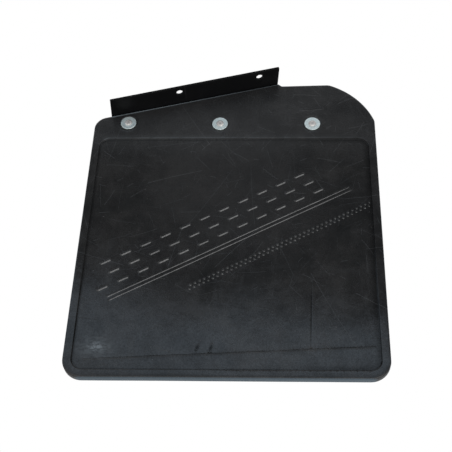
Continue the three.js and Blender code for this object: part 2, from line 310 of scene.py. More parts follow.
def z_at(z):
    """The frame's z of a place z millimetres above the flap's bottom edge."""
    return placed((0, 0, z))[2]


# ---------------------------------------------------------------- outlines


def rounded_outline(corners, step):
    """Points along a closed anticlockwise outline with arcs at its corners, and the way inward at each."""
    points, inward, arcs = [], [], []
    for i, (x, z, radius) in enumerate(corners):
        at = Vector((x, z))
        back = (Vector(corners[i - 1][:2]) - at).normalized()
        onward = (Vector(corners[(i + 1) % len(corners)][:2]) - at).normalized()
        half = back.angle(onward) / 2
        left_turn = 1 if back.cross(onward) < 0 else -1
        centre = at + (back + onward).normalized() * radius / math.sin(half)
        start = at + back * radius / math.tan(half) - centre
        sweep = (math.pi - 2 * half) * left_turn
        parts = max(3, math.ceil(abs(sweep) * radius / step), math.ceil(abs(sweep) / ARC_TURN))
        spokes = [Matrix.Rotation(sweep * k / parts, 2) @ start for k in range(parts + 1)]
        arcs.append([(centre + spoke, -spoke.normalized() * left_turn) for spoke in spokes])
    for arc, following in zip(arcs, arcs[1:] + arcs[:1]):
        points += [point for point, _ in arc]
        inward += [way for _, way in arc]
        start, end = arc[-1][0], following[0][0]
        straight = end - start
        side = Vector((-straight.y, straight.x)).normalized()
        parts = max(1, round(straight.length / step))
        for k in range(1, parts):
            points.append(start + straight * k / parts)
            inward.append(side)
    return np.array(points), np.array(inward)


def circle(x, z, radius, parts=48, inward=1):
    """Points round a circle, and the way to its middle, or away from it where inward is -1."""
    turn = np.linspace(0, 2 * math.pi, parts, endpoint=False)
    spokes = np.column_stack([np.cos(turn), np.sin(turn)])
    return np.array([x, z]) + radius * spokes, -spokes * inward


def hole(x, z, radius, parts, depth, rounding):
    """A round hole through a plate, as plate() takes its edges."""
    return (*circle(x, z, radius, parts, -1), depth, rounding, rounding)


def bar_outline(middle, length, width, angle, radius, lean=0.0):
    """A rounded bar about its middle; lean slants its ends."""
    along = Vector((math.cos(angle), math.sin(angle)))
    across = Vector((-along.y, along.x)) + along * lean
    corners = []
    for a, b in ((-1, -1), (1, -1), (1, 1), (-1, 1)):
        at = Vector(middle) + along * a * length / 2 + across * b * width / 2
        corners.append((at.x, at.y, radius))
    return rounded_outline(corners, BAR_STEP)


def within(points, polygon):
    """Which points are inside a closed polygon, by counting crossings."""
    x, z = points[:, 0][:, None], points[:, 1][:, None]
    x1, z1 = polygon[:, 0][None], polygon[:, 1][None]
    x2, z2 = np.roll(polygon, -1, 0).T[:, None]
    spans = (z1 > z) != (z2 > z)
    rise = np.where(z2 == z1, 1, z2 - z1)
    crossing = x1 + (z - z1) * (x2 - x1) / rise
    return ((spans & (x < crossing)).sum(1) % 2).astype(bool)


def quarter_turn(radius, steps=4):
    """(offset, depth) pairs from a face, round a quarter circle, to the side below it."""
    turns = [k * math.pi / 2 / steps for k in range(steps + 1)]
    return [(radius * (1 - math.sin(a)), radius * (1 - math.cos(a))) for a in turns]


def edge_profile(top, bottom, front, back):
    """(offset, depth) pairs down a plate's side from depth top to bottom, rounded front and back."""
    upper = [(offset, top + depth) for offset, depth in quarter_turn(front)]
    lower = [(offset, bottom - depth) for offset, depth in reversed(quarter_turn(back))]
    return upper + lower


# ---------------------------------------------------------------- meshes


class Surface:
    """Points and faces of one mesh, gathered part by part and merged where the parts meet."""

    def __init__(self):
        self.points = []
        self.faces = []

    def add(self, points, faces):
        first = len(self.points)
        self.points += [tuple(point) for point in points]
        self.faces += [tuple(first + corner for corner in face) for face in faces]

    def strips(self, loops, closed=False):
        """Quads between successive closed loops of as many points each."""
        count = len(loops[0])
        faces = []
        for i in range(len(loops) if closed else len(loops) - 1):
            a, b = i * count, (i + 1) % len(loops) * count
            faces += [(a + k, a + (k + 1) % count, b + (k + 1) % count, b + k) for k in range(count)]
        self.add([point for loop in loops for point in loop], faces)

    def build(self, name, material, sharp=50):
        """The finished object, smooth but for edges sharper than so many degrees."""
        mesh = bpy.data.meshes.new(name)
        shape = bmesh.new()
        corners = [shape.verts.new(point) for point in placed(self.points)]
        for face in self.faces:
            shape.faces.new([corners[i] for i in face])
        bmesh.ops.remove_doubles(shape, verts=shape.verts, dist=MERGE_DISTANCE * MM)
        bmesh.ops.recalc_face_normals(shape, faces=shape.faces)
        shape.to_mesh(mesh)
        shape.free()
        mesh.shade_smooth()
        mesh.set_sharp_from_angle(angle=math.radians(sharp))
        rest = mesh.attributes.new("rest", "FLOAT_VECTOR", "POINT")
        places = np.zeros(len(mesh.vertices) * 3, np.float32)
        mesh.vertices.foreach_get("co", places)
        rest.data.foreach_set("vector", places)
        mesh.materials.append(material)
        made = bpy.data.objects.new(name, mesh)
        bpy.context.scene.collection.objects.link(made)
        weighted = made.modifiers.new("even_shading", "WEIGHTED_NORMAL")
        weighted.keep_sharp = True
        return made


def raised_loops(points, inward, wall, height, base):
    """[(points, depth)] loops up the wall of a raised or sunk shape; wall is (offset, share) pairs."""
    return [(points + inward * offset, base - height * share) for offset, share in wall]


def hex_grid(outer, spacing):
    """Evenly spaced points over an outline's box, in staggered rows."""
    low, high = outer.min(0), outer.max(0)
    grid = []
    for i, z in enumerate(np.arange(low[1], high[1], spacing * math.sqrt(3) / 2)):
        xs = np.arange(low[0] + spacing / 2 * (i % 2), high[0], spacing)
        grid.append(np.column_stack([xs, np.full(len(xs), z)]))
    return np.concatenate(grid)


def filled(surface, borders, shapes, lines, spacing):
    """Adds a face inside the first border and outside the others, with shapes standing on it.

    borders, and each shape's loops, are (points, depth) pairs. lines are open rows of points that
    the face's triangles keep to. The face has the first border's depth where nothing else says.
    """
    level = borders[0][1]
    loops = borders + [loop for shape in shapes for loop in shape]
    rows = loops + [(line, level) for line in lines]
    placed_already = np.concatenate([points for points, _ in rows])
    tree = KDTree(len(placed_already))
    for k, (x, z) in enumerate(placed_already):
        tree.insert((x, z, 0), k)
    tree.balance()
    grid = hex_grid(borders[0][0], spacing)
    grid = grid[within(grid, borders[0][0])]
    grid = grid[np.array([tree.find((x, z, 0))[2] > GRID_CLEARANCE * spacing for x, z in grid])]
    depths = np.full(len(grid), float(level))
    for shape in shapes:
        depths[within(grid, shape[-1][0])] = shape[-1][1]
    flat = np.concatenate([placed_already, grid])
    depths = np.concatenate([np.full(len(points), float(depth)) for points, depth in rows] + [depths])
    edges, first = [], 0
    for i, (points, _) in enumerate(rows):
        count = len(points)
        sides = count if i < len(loops) else count - 1
        edges += [(first + k, first + (k + 1) % count) for k in range(sides)]
        first += count
    corners, _, faces, origins, _, _ = delaunay_2d_cdt([Vector(p) for p in flat], edges, [], 1, 1e-5)
    corners = np.array(corners)
    depths = [depths[came[0]] if came else level for came in origins]
    centres = np.array([corners[list(face)].mean(0) for face in faces])
    solid = np.ones(len(faces), bool)
    for points, _ in borders[1:]:
        solid &= ~within(centres, points)
    faces = [face for face, kept in zip(faces, solid) if kept]
    surface.add(np.column_stack([corners[:, 0], depths, corners[:, 1]]), faces)


def plate(edges, thickness, shapes, spacings, lines=()):
    """A plate drawn flat, with shapes on its front.

    edges are its outline and then its holes, each (points, inward, front depth, front and back rounding).
    """
    made = Surface()
    fronts, backs = [], []
    for points, inward, depth, front, back in edges:
        profile = edge_profile(depth, thickness, front, back)
        rings = [(points + inward * offset, at) for offset, at in profile]
        made.strips([np.insert(ring, 1, at, axis=1) for ring, at in rings])
        fronts.append(rings[0])
        backs.append(rings[-1])
    filled(made, fronts, shapes, lines, spacings[0])
    filled(made, backs, [], lines, spacings[1])
    return made


def turned(name, profile, x, z, material, parts=72, closed=True):
    """A turned piece about the Y axis through x, z, from (radius, y) pairs."""
    made = Surface()
    loops = []
    for radius, y in profile:
        ring, _ = circle(x, z, radius, parts)
        loops.append(np.insert(ring, 1, y, axis=1))
    made.strips(loops, closed)
    return made.build(name, material)


def rounded_profile(corners):
    """(radius, y) pairs of a turned piece's section, from (radius, y, corner rounding) corners."""
    points, _ = rounded_outline(corners, PROFILE_STEP)
    return [tuple(point) for point in points]


# ---------------------------------------------------------------- materials


class Graph:
    """A tree of shader nodes. Each call adds a node and gives back its output socket."""

    def __init__(self, tree):
        self.tree = tree

    def give(self, socket, value):
        """Links a socket to another, or sets its value; colours are opaque, as three numbers."""
        if isinstance(value, bpy.types.NodeSocket):
            self.tree.links.new(value, socket)
        elif socket.type == "RGBA":
            socket.default_value = (*value, 1)
        else:
            socket.default_value = value

    def node(self, kind, inputs, output=0, **settings):
        made = self.tree.nodes.new(kind)
        for key, value in settings.items():
            setattr(made, key, value)
        for key, value in inputs.items():
            self.give(made.inputs[key], value)
        return made.outputs[output]

    def math(self, operation, *values):
        return self.node("ShaderNodeMath", dict(enumerate(values)), operation=operation)

    def vector(self, operation, *values, output=0):
        """Arithmetic on vectors; output 1 is the number that a length or a dot product gives."""
        return self.node("ShaderNodeVectorMath", dict(enumerate(values)), output, operation=operation)

    def times(self, *factors):
        """The product of several values."""
        total = factors[0]
        for factor in factors[1:]:
            total = self.math("MULTIPLY", total, factor)
        return total

    def most(self, *masks):
        """The highest of several masks."""
        total = masks[0]
        for mask in masks[1:]:
            total = self.math("MAXIMUM", total, mask)
        return total

    def apart(self, vector):
        """A vector's x, y and z."""
        return self.node("ShaderNodeSeparateXYZ", {0: vector}).node.outputs

    def turned(self, vector, angle):
        """A vector turned about the Y axis."""
        return self.node("ShaderNodeVectorRotate", {"Vector": vector, "Angle": angle}, rotation_type="Y_AXIS")

    def fade(self, value, start, end, low=0.0, high=1.0):
        """low up to start, high from end, and a smooth step between them."""
        inputs = {"Value": value, "From Min": start, "From Max": end, "To Min": low, "To Max": high}
        return self.node("ShaderNodeMapRange", inputs, interpolation_type="SMOOTHSTEP")

    def mix(self, share, first, second):
        """Two colours mixed by a share of the second."""
        return self.node("ShaderNodeMix", {0: share, 6: first, 7: second}, 2, data_type="RGBA")


class Material(Graph):
    """The nodes of one material, drawn by the places that the points have at rest."""

    def __init__(self, name):
        self.made = bpy.data.materials.new(name)
        self.made.use_nodes = True
        super().__init__(self.made.node_tree)
        self.shader = self.tree.nodes["Principled BSDF"]
        self.place = self.node("ShaderNodeAttribute", {}, "Vector", attribute_name="rest")

    def noise(self, scale, detail, roughness=0.55, distortion=0.0, vector=None):
        inputs = {
            "Vector": vector or self.place,
            "Scale": scale,
            "Detail": detail,
            "Roughness": roughness,
            "Distortion": distortion,
        }
        return self.node("ShaderNodeTexNoise", inputs)

    def moved(self, location=(0, 0, 0), turn=(0, 0, 0), scale=(1, 1, 1)):
        inputs = {"Vector": self.place, "Location": location, "Rotation": turn, "Scale": scale}
        return self.node("ShaderNodeMapping", inputs)

    def scratches(self, cell, length, width, bend, amount, shift):
        """Lone scratches at random angles, one at most in each cell, all sizes in metres."""
        spot = self.moved(location=shift)
        cells = self.node("ShaderNodeTexVoronoi", {"Vector": spot, "Scale": 1 / cell}).node.outputs
        spin, chance, strength = self.node("ShaderNodeSeparateColor", {"Color": cells["Color"]}).node.outputs
        local = self.vector("SUBTRACT", spot, cells["Position"])
        along, _, across = self.apart(self.turned(local, self.times(spin, 2 * math.pi)))
        off = self.math("ABSOLUTE", self.math("SUBTRACT", across, self.times(along, along, bend / length)))
        line = self.fade(off, 0.3 * width, width, 1, 0)
        reach = self.fade(self.math("ABSOLUTE", along), 0.3 * length, 0.5 * length, 1, 0)
        chosen = self.fade(chance, 1 - amount, 1 - amount + 0.05)
        return self.times(line, reach, chosen, strength)

    def bump(self, height, distance, strength, under=None):
        """A bumped normal; distance in metres, below 0 for grooves, over another bump where one is given."""
        inputs = {"Height": height, "Distance": distance, "Strength": strength}
        if under:
            inputs["Normal"] = under
        return self.node("ShaderNodeBump", inputs)

    def finish(self, **inputs):
        """Sets the shader's inputs, named with _ for each space, and gives the material."""
        for key, value in inputs.items():
            self.give(self.shader.inputs[key.replace("_", " ")], value)
        return self.made


def smeared(graph):
    """Smears wiped across the rubber, and others brushed up and down it."""
    wiped = graph.noise(12, 9, 0.78, 0.15, graph.moved(turn=(0, -0.4, 0), scale=(1, 1, 3.5)))
    upright = graph.moved(location=(1, 0, 0), turn=(0, 0.15, 0), scale=(4, 1, 1))
    brushed = graph.noise(14, 9, 0.78, 0.15, upright)
    return graph.most(graph.fade(wiped, 0.46, 0.85), graph.fade(brushed, 0.48, 0.85))


def painted_edge_highlight(graph):
    """Painted highlight: a pale line along the sloped edge beside the flange, thinner towards the flange's
    right end.
    """
    up = Vector((-SLOPE, 0, 1)).normalized()
    edge = float(up @ Vector(placed((0, 0, SLOPE_FOOT))))
    below = graph.math("SUBTRACT", edge, graph.vector("DOT_PRODUCT", graph.place, tuple(up), output=1))
    x = graph.apart(graph.place)[0]
    left, right = x_at(FLANGE_START), x_at(FLANGE_START + FLANGE_LENGTH)
    return graph.times(
        graph.fade(below, 1.6 * MM, 3.2 * MM, 1, 0),
        graph.fade(x, left, left + 3 * MM),
        graph.fade(x, right - 10 * MM, right, 1, 0),
        graph.fade(x, left, right, 1, 0.3),
    )


def scuffed_spot(graph):
    """A pale rubbed spot with streaks, where the corner has brushed the ground."""
    centre = tuple(placed((SCUFF_PLACE[0], RECESS_DEPTH, SCUFF_PLACE[1])))
    squeezed = graph.vector("MULTIPLY", graph.vector("SUBTRACT", graph.place, centre), SCUFF_SQUEEZE)
    distance = graph.vector("LENGTH", squeezed, output=1)
    glow = graph.fade(distance, 0, SCUFF_RADIUS * MM, 0.17, 0)
    heart = graph.fade(distance, 0, 0.35 * SCUFF_RADIUS * MM, 0.34, 0)
    streaks = graph.noise(150, 6, 0.75, 0.3, graph.moved(turn=(0, 0.5, 0), scale=(1, 1, 2)))
    return graph.times(graph.math("ADD", glow, heart), graph.fade(streaks, 0.38, 0.62, 0.15, 1))


def inside_recess(graph):
    """How far each point lies inside the recess's rounded outline, seen from the front."""
    (left, bottom), (right, top) = [placed((x, 0, z))[[0, 2]] for x, z, _ in (RECESS[0], RECESS[2])]
    radius = RECESS[0][2] * MM
    x, _, z = graph.apart(graph.place)
    rise = (RECESS[1][1] - RECESS[0][1]) / (RECESS[1][0] - RECESS[0][0])
    floor = graph.math("MULTIPLY_ADD", graph.math("SUBTRACT", x, left), rise, bottom)
    across = graph.math("MINIMUM", graph.math("SUBTRACT", x, left), graph.math("SUBTRACT", right, x))
    up = graph.math("MINIMUM", graph.math("SUBTRACT", z, floor), graph.math("SUBTRACT", top, z))
    near_side = graph.math("SUBTRACT", radius, across)
    near_end = graph.math("SUBTRACT", radius, up)
    corner = graph.node("ShaderNodeCombineXYZ", {
        0: graph.math("MAXIMUM", near_side, 0.0),
        1: graph.math("MAXIMUM", near_end, 0.0),
    })
    beyond = graph.vector("LENGTH", corner, output=1)
    within_both = graph.math("MINIMUM", graph.math("MAXIMUM", near_side, near_end), 0.0)
    return graph.math("SUBTRACT", radius, graph.math("ADD", beyond, within_both))


def above_edge(graph):
    """How far each point lies above the moulding's bottom edge."""
    x, _, z = graph.apart(graph.place)
    left, _, bottom = placed((0, 0, 0))
    edge = graph.math("MULTIPLY_ADD", graph.math("SUBTRACT", x, left), BOTTOM_RISE / WIDTH, bottom)
    return graph.math("SUBTRACT", z, edge)


def nick_shade(graph):
    """Painted shade: a dark leaf shape at each nick of the face and each mark of the land, seen from the
    front.
    """
    masks = []
    for (x, z), length, width, slope, _ in SURFACE_NICKS + LAND_MARKS:
        offset = graph.vector("SUBTRACT", graph.place, tuple(placed((x, 0, z))))
        shrink = (2 / (length * MM), 0, 2 / (width * MM))
        scaled = graph.vector("MULTIPLY", graph.turned(offset, math.radians(slope)), shrink)
        masks.append(graph.fade(graph.vector("LENGTH", scaled, output=1), 0.4, 1.1, 1, 0))
    return graph.most(*masks)


def crease_shade(graph, inside, to_right):
    """Painted shade: the dark line at the foot of the recess's wall, and a wider painted shadow beside it
    towards the right.
    """
    line = graph.fade(inside, 0.6 * MM, 3.4 * MM, 0.37, 0)
    shade = graph.times(graph.fade(inside, 0, 9 * MM, 0.45, 0), to_right)
    return graph.times(graph.fade(inside, -0.9 * MM, 0.2 * MM), graph.most(line, shade))


def lip_wear_and_highlight(graph, inside):
    """Patchy pale line along the lip of the recess, and a faint band round it: partly wear, partly a painted
    highlight of the lip.
    """
    from_lip = graph.math("ABSOLUTE", graph.math("ADD", inside, 1.2 * MM))
    line = graph.fade(from_lip, 0.2 * MM, 1.0 * MM, 0.36, 0)
    band = graph.fade(from_lip, 0, 7 * MM, 0.1, 0)
    patchy = graph.fade(graph.noise(24, 6, 0.75), 0.36, 0.62, 0.25, 1)
    return graph.times(graph.most(line, band), patchy)


def moulded_rubber():
    """Black rubber with cloudy tone, wiped smears, scuffs, fine scratches and pale specks of dust, with
    painted light: highlights, a reflection under its bottom edge, a lighter top band and shade in its creases
    and nicks.
    """
    graph = Material("moulded_rubber")
    x, depth, height = graph.apart(graph.place)
    land = z_at(RECESS_TOP)
    inside = inside_recess(graph)
    front = graph.math("LESS_THAN", depth, y_at(THICKNESS / 2))
    behind = graph.fade(depth, *map(y_at, BACK_LOOKS))
    to_right = graph.fade(x, *map(x_at, RIGHT_LOOKS))
    at_land = graph.times(front, graph.fade(height, land - 3 * MM, land - 1 * MM))
    painted_highlight_centre = tuple(placed(PAINTED_HIGHLIGHT_CENTRE))
    from_painted_highlight = graph.vector("DISTANCE", graph.place, painted_highlight_centre, output=1)
    painted_broad_highlight = graph.fade(from_painted_highlight, PAINTED_HIGHLIGHT_FULL * MM, PAINTED_HIGHLIGHT_REACH * MM, 0.4, 0)

    clouds = graph.fade(graph.noise(13, 9, 0.7, 0.2), 0.34, 0.66)
    mottle = graph.fade(graph.noise(42, 5, 0.62, 0, graph.moved(location=(0.3, 0, 0.7))), 0.36, 0.66)
    smears = smeared(graph)
    scratched = graph.most(*[graph.scratches(*kind) for kind in RUBBER_SCRATCHES])
    dust = graph.fade(graph.noise(420, 2, 0.5), 0.73, 0.79)
    speckle = graph.fade(graph.noise(850, 3, 0.75), 0.34, 0.66)
    # the land and the band below it: rougher, and lighter in colour as painted light against the shade and
    # dark reflection of the flange
    dull_and_lit_band = graph.times(
        graph.fade(height, land - 48 * MM, land + 6 * MM),
        graph.fade(to_right, 0, 1, 1, 0.65),
    )
    # the underside of the bottom edge: a pale bluish painted reflection of the light from below, and less
    # gloss
    underside = graph.fade(above_edge(graph), 0.2 * MM, 1.6 * MM, 1, 0)
    outer_edge = graph.times(
        graph.fade(inside, -(RIM - 0.3) * MM, -(RIM - 1.7) * MM, 1, 0),
        graph.fade(height, land - 20 * MM, land - 5 * MM, 1, 0),
    )
    dull = graph.most(behind, outer_edge)
    worn_and_lit_lip = graph.times(lip_wear_and_highlight(graph, inside), at_land, graph.fade(to_right, 0, 1, 1, 0.4))
    # painted shade: darker colour and less gloss in the nicks and marks and at the foot of the recess's wall
    dark = graph.most(graph.times(nick_shade(graph), 0.6), crease_shade(graph, inside, to_right))
    dark = graph.times(dark, front)

    colour = graph.mix(clouds, (0.0080, 0.0084, 0.0088), (0.0218, 0.0211, 0.0207))
    for mask, share, tone in (
        (mottle, 0.45, (0.0060, 0.0063, 0.0066)),
        # painted light on the band below the flange
        (dull_and_lit_band, 0.5, (0.030, 0.0305, 0.0315)),
        (smears, 0.6, (0.034, 0.034, 0.035)),
        # painted highlight: a broad lighter patch
        (painted_broad_highlight, 1, (0.034, 0.034, 0.035)),
        (speckle, 0.35, (0.0035, 0.0035, 0.0038)),
        (scratched, 0.32, (0.13, 0.14, 0.15)),
        (scuffed_spot(graph), 1, (0.30, 0.34, 0.37)),
        # wear and a painted highlight along the recess's lip
        (worn_and_lit_lip, 1, (0.13, 0.145, 0.155)),
        # painted reflection on the bottom edge's underside
        (underside, 0.6, (0.075, 0.105, 0.13)),
        # painted shade
        (dark, 1, (0.002, 0.002, 0.002)),
        # painted highlight along the sloped edge below the flange
        (painted_edge_highlight(graph), 0.8, (0.24, 0.28, 0.31)),
        (dust, 0.3, (0.2, 0.2, 0.2)),
    ):
        colour = graph.mix(graph.times(mask, share), colour, tone)
    gloss = graph.times(
        graph.fade(graph.noise(650, 2, 0.6), 0.3, 0.7, 0.38, 0.58),
        graph.fade(mottle, 0, 1, 1.06, 0.9),
        graph.math("SUBTRACT", 1.0, dark),
        graph.fade(underside, 0, 1, 1, 0.6),
        graph.fade(dull, 0, 1, 1, 0.45),
    )
    rough = graph.fade(clouds, 0, 1, 0.07, 0.11)
    for mask, added in ((dull_and_lit_band, 0.17), (dull, 0.35), (smears, 0.1), (scratched, 0.12)):
        rough = graph.math("MULTIPLY_ADD", mask, added, rough)
    relief = graph.bump(graph.noise(70, 5), 0.4 * MM, 0.12)
    relief = graph.bump(graph.noise(1400, 3, 0.6), 0.12 * MM, 0.12, relief)
    relief = graph.bump(scratched, -0.1 * MM, 0.4, relief)
    return graph.finish(
        Base_Color=colour, Roughness=rough, Normal=relief, IOR=1.5, Specular_IOR_Level=gloss
    )


def black_painted_steel():
    """Gloss black paint, slightly uneven, dusty, with a few scratches down to grey primer."""
    graph = Material("black_painted_steel")
    dusty = graph.fade(graph.noise(30, 6, 0.7, 0.4), 0.5, 0.8)
    scratched = graph.scratches(0.03, 0.03, 0.0002, 0.5, 0.3, (0.5, 0.2, 0.1))
    specks = graph.fade(graph.noise(700, 2, 0.5), 0.72, 0.78)
    colour = graph.mix(graph.times(dusty, 0.4), (0.0035, 0.0035, 0.0038), (0.009, 0.009, 0.0095))
    colour = graph.mix(graph.times(graph.most(scratched, specks), 0.3), colour, (0.08, 0.08, 0.085))
    rough = graph.fade(dusty, 0, 1, 0.42, 0.55)
    relief = graph.bump(graph.noise(380, 2, 0.5), 0.12 * MM, 0.25)
    relief = graph.bump(scratched, -0.08 * MM, 0.5, relief)
    return graph.finish(
        Base_Color=colour, Roughness=rough, Normal=relief, IOR=1.5, Specular_IOR_Level=0.08
    )


def bare_metal(name, dark, light, rough_low, rough_high, shift):
    """Dull plated or plain metal: blotchy, with fine scratches and small pits."""
    graph = Material(name)
    blotches = graph.fade(graph.noise(260, 6, 0.65, 0.5, graph.moved(location=shift)), 0.32, 0.7)
    pits = graph.fade(graph.noise(1500, 3, 0.6), 0.62, 0.75)
    scratched = graph.scratches(0.004, 0.006, 0.00007, 0.5, 0.8, shift)
    colour = graph.mix(blotches, dark, light)
    colour = graph.mix(graph.times(pits, 0.4), colour, tuple(0.5 * part for part in dark))
    rough = graph.fade(blotches, 0, 1, rough_high, rough_low)
    rough = graph.math("MULTIPLY_ADD", scratched, 0.15, rough)
    relief = graph.bump(graph.noise(900, 3, 0.6), 0.06 * MM, 0.4)
    relief = graph.bump(scratched, -0.04 * MM, 0.5, relief)
    return graph.finish(Base_Color=colour, Metallic=1.0, Roughness=rough, Normal=relief)


def pale_floor():
    """A plain matt off-white floor."""
    graph = Material("pale_floor")
    tone = graph.mix(graph.noise(2, 3), (0.12, 0.12, 0.12), (0.14, 0.14, 0.14))
    return graph.finish(
        Base_Color=tone,
        Roughness=0.8,
        Specular_IOR_Level=0.0,
        Emission_Color=(1, 1, 1),
        Emission_Strength=FLOOR_GLOW,
    )


# ---------------------------------------------------------------- rubber


def pattern_shapes():
    """The bars, ribs and pips that stand on the recessed face."""
    along = np.array([math.cos(BAND_ANGLE), math.sin(BAND_ANGLE)])
    across = np.array([-along[1], along[0]])
    shapes = []

    def stamp(outline, height):
        wall = [(offset * height, share) for offset, share in STAMPED_WALL]
        shapes.append(raised_loops(*outline, wall, height, RECESS_DEPTH))

    for row in range(BAR_ROWS):
        first = np.array(BAND_START) + across * row * BAR_ROW_GAP
        first = first + along * (row * BAR_ROW_GAP * math.tan(BAND_ANGLE) + BAR_PITCH / 2 * (row % 2))
        for k in range(int((BAND_LENGTH - row * BAR_PITCH / 2) / BAR_PITCH)):
            middle = first + along * k * BAR_PITCH
            stamp(bar_outline(middle, *BAR_SIZE, BAND_ANGLE, BAR_ROUNDING, BAR_LEAN), BAR_HEIGHT)
    for drop in RIB_DROPS:
        middle = np.array(BAND_START) + along * BAND_LENGTH / 2 - across * drop
        stamp(bar_outline(middle, BAND_LENGTH, RIB_WIDTH, BAND_ANGLE, RIB_ROUNDING), RIB_HEIGHT)
    for k in range(PIP_COUNT * PIP_ROWS):
        at = np.array(PIP_START) + along * k * PIP_PITCH / PIP_ROWS
        at = at + across * PIP_ROW_GAP * (k % PIP_ROWS)
        stamp(circle(*at, PIP_RADIUS, PIP_PARTS), PIP_HEIGHT)
    return shapes


def wavy(points):
    """Gives the free rubber its slow waves, front and back alike."""
    points = np.array(points)
    x, z = points[:, 0], points[:, 2]
    free = np.clip((WAVES_END[1] - z) / (WAVES_END[1] - WAVES_END[0]), 0, 1)
    free = free * free * (3 - 2 * free)
    for (across, up), phase, height in WAVES:
        points[:, 1] += height * free * np.sin(2 * math.pi * (x / across + z / up) + phase)
    return points


def rubber_flap(material, rivets):
    """The whole moulding: thick top land, raised rim, recessed face, pattern and washer seats."""
    points, inward = rounded_outline(RECESS, RECESS_STEP)
    at_top = np.maximum(-inward[:, 1], 0)
    waver = sum(height * np.sin(points[:, 0] / length + phase) for height, length, phase in TOP_WALL_WAVER)
    points[:, 1] += at_top * waver
    spread = inward * (1 + (TOP_WALL_SPREAD - 1) * at_top)[:, None]
    recess = raised_loops(points, spread, RECESS_WALL, -RECESS_DEPTH, 0)
    shapes = [recess, *pattern_shapes()]
    for marks, depth in ((SURFACE_MARKS + SURFACE_NICKS, RECESS_DEPTH), (LAND_MARKS, 0)):
        for middle, length, width, slope, height in marks:
            outline = bar_outline(middle, length, width, math.radians(slope), width / 2 - 0.02)
            shapes.append(raised_loops(*outline, MARK_WALL, height, depth))
    edges = [(*rounded_outline(OUTLINE, OUTLINE_STEP), 0, EDGE_ROUNDING, BACK_ROUNDING)]
    for x, z in rivets:
        seat = [(circle(x, z, WASHER_RADIUS + out)[0], depth) for out, depth in reversed(SEAT_SWELL)]
        shapes.append(seat)
        edges.append(hole(x, z, SHANK_HOLE, SHANK_HOLE_PARTS, WASHER_SINK, HOLE_ROUNDING))
    made = plate(edges, THICKNESS, shapes, (FRONT_SPACING, BACK_SPACING))
    made.points = wavy(made.points)
    return made.build("rubber_flap", material, sharp=60)


# ---------------------------------------------------------------- bracket


def folded(points, foot, along, up):
    """Folds the flat sheet forward over the bend.

    foot is the left end of the line where the flange's underside starts.
    """
    points = np.array(points)
    local = points[:, [0, 2]] - foot
    u, v = local @ along, local @ up
    past = v + BEND_INNER_RADIUS
    turn = np.clip(past / BEND_LENGTH, 0, 1) * math.pi / 2
    radius = points[:, 1] + BEND_INNER_RADIUS
    height = np.where(past > 0, radius * np.sin(turn) - BEND_INNER_RADIUS, v)
    depth = LEG_FRONT - BEND_INNER_RADIUS + radius * np.cos(turn) - np.maximum(past - BEND_LENGTH, 0)
    flat = foot + u[:, None] * along + height[:, None] * up
    return np.column_stack([flat[:, 0], depth, flat[:, 1]])


def folded_bracket(material, rivets):
    """The steel bracket, drawn as its flat blank and folded."""
    angle = math.atan(SLOPE)
    along = np.array([math.cos(angle), math.sin(angle)])
    up = np.array([-along[1], along[0]])
    foot_height = SLOPE_FOOT + FLANGE_GAP / along[0] + FLANGE_START * SLOPE
    foot = np.array([FLANGE_START, foot_height])
    reach = LEG_FRONT - BEND_INNER_RADIUS  # of the flange, behind the rubber's front face
    flange_front = BEND_LENGTH - BEND_INNER_RADIUS + reach

    def on_flange(u, front):
        """A point of the flat blank, u along the flange and so far in front of the rubber."""
        skew = FLANGE_SKEW * (LEG_FRONT + STEEL + front)
        return foot + (u + skew) * along + (flange_front + front) * up

    left_foot = foot - FLANGE_NOTCH * up
    right_foot = foot + FLANGE_LENGTH * along - FLANGE_NOTCH * up
    corners = [
        (LEG_LEFT, LEG_BOTTOM, LEG_CORNER_RADIUS),
        (LEG_RIGHT, LEG_BOTTOM, LEG_CORNER_RADIUS),
        (LEG_RIGHT, LEG_TOP, LEG_CORNER_RADIUS),
        (right_foot[0], LEG_TOP, NOTCH_CORNER_RADIUS),
        (*right_foot, FLANGE_CORNER_RADIUS),
        (*on_flange(FLANGE_LENGTH, FLANGE_REACH), FLANGE_CORNER_RADIUS),
        (*on_flange(0, FLANGE_REACH), FLANGE_CORNER_RADIUS),
        (*left_foot, FLANGE_CORNER_RADIUS),
    ]
    edges = [(*rounded_outline(corners, SHEET_STEP), 0, SHEET_EDGE, SHEET_EDGE)]
    for u in FLANGE_HOLES:
        middle = foot + u * along + (flange_front + FLANGE_HOLE_REACH) * up
        edges.append(hole(*middle, FLANGE_HOLE_RADIUS, BOLT_HOLE_PARTS, 0, BOLT_HOLE_ROUNDING))
    for x, z in rivets:
        edges.append(hole(x, z, SHANK_HOLE, SHANK_HOLE_PARTS, 0, HOLE_ROUNDING))
    bend_rows = []
    inset = 2 * SHEET_EDGE
    for k in range(BEND_ROWS + 1):
        v = -BEND_INNER_RADIUS + BEND_LENGTH * k / BEND_ROWS
        start = foot + (inset + 0.3) * along + v * up
        run = (FLANGE_LENGTH - 2 * inset) * along
        bend_rows.append(start + np.linspace(0, 1, BEND_POINTS)[:, None] * run)
    made = plate(edges, STEEL, [], (SHEET_SPACING, SHEET_SPACING), bend_rows)
    made.points = folded(made.points, foot, along, up)
    return made.build("folded_bracket", material)


# ---------------------------------------------------------------- fixings


def washer(side, x, z, material):
    """A plated penny washer, its rim standing slightly proud of its clamped middle."""
    front = WASHER_SINK - CLEARANCE - WASHER_THICKNESS
    back = front + WASHER_THICKNESS
    dish_start = HEAD_RADIUS + WASHER_FLAT
    profile = rounded_profile([
        (WASHER_HOLE, front, 0.15),
        (dish_start, front, 3),
        (WASHER_RADIUS, front - WASHER_DISH, 0.45),
        (WASHER_RADIUS, back - WASHER_DISH, 0.3),
        (dish_start, back, 3),
        (WASHER_HOLE, back, 0.15),
    ])
    return turned(f"washer_{side}", profile, x, z, material)


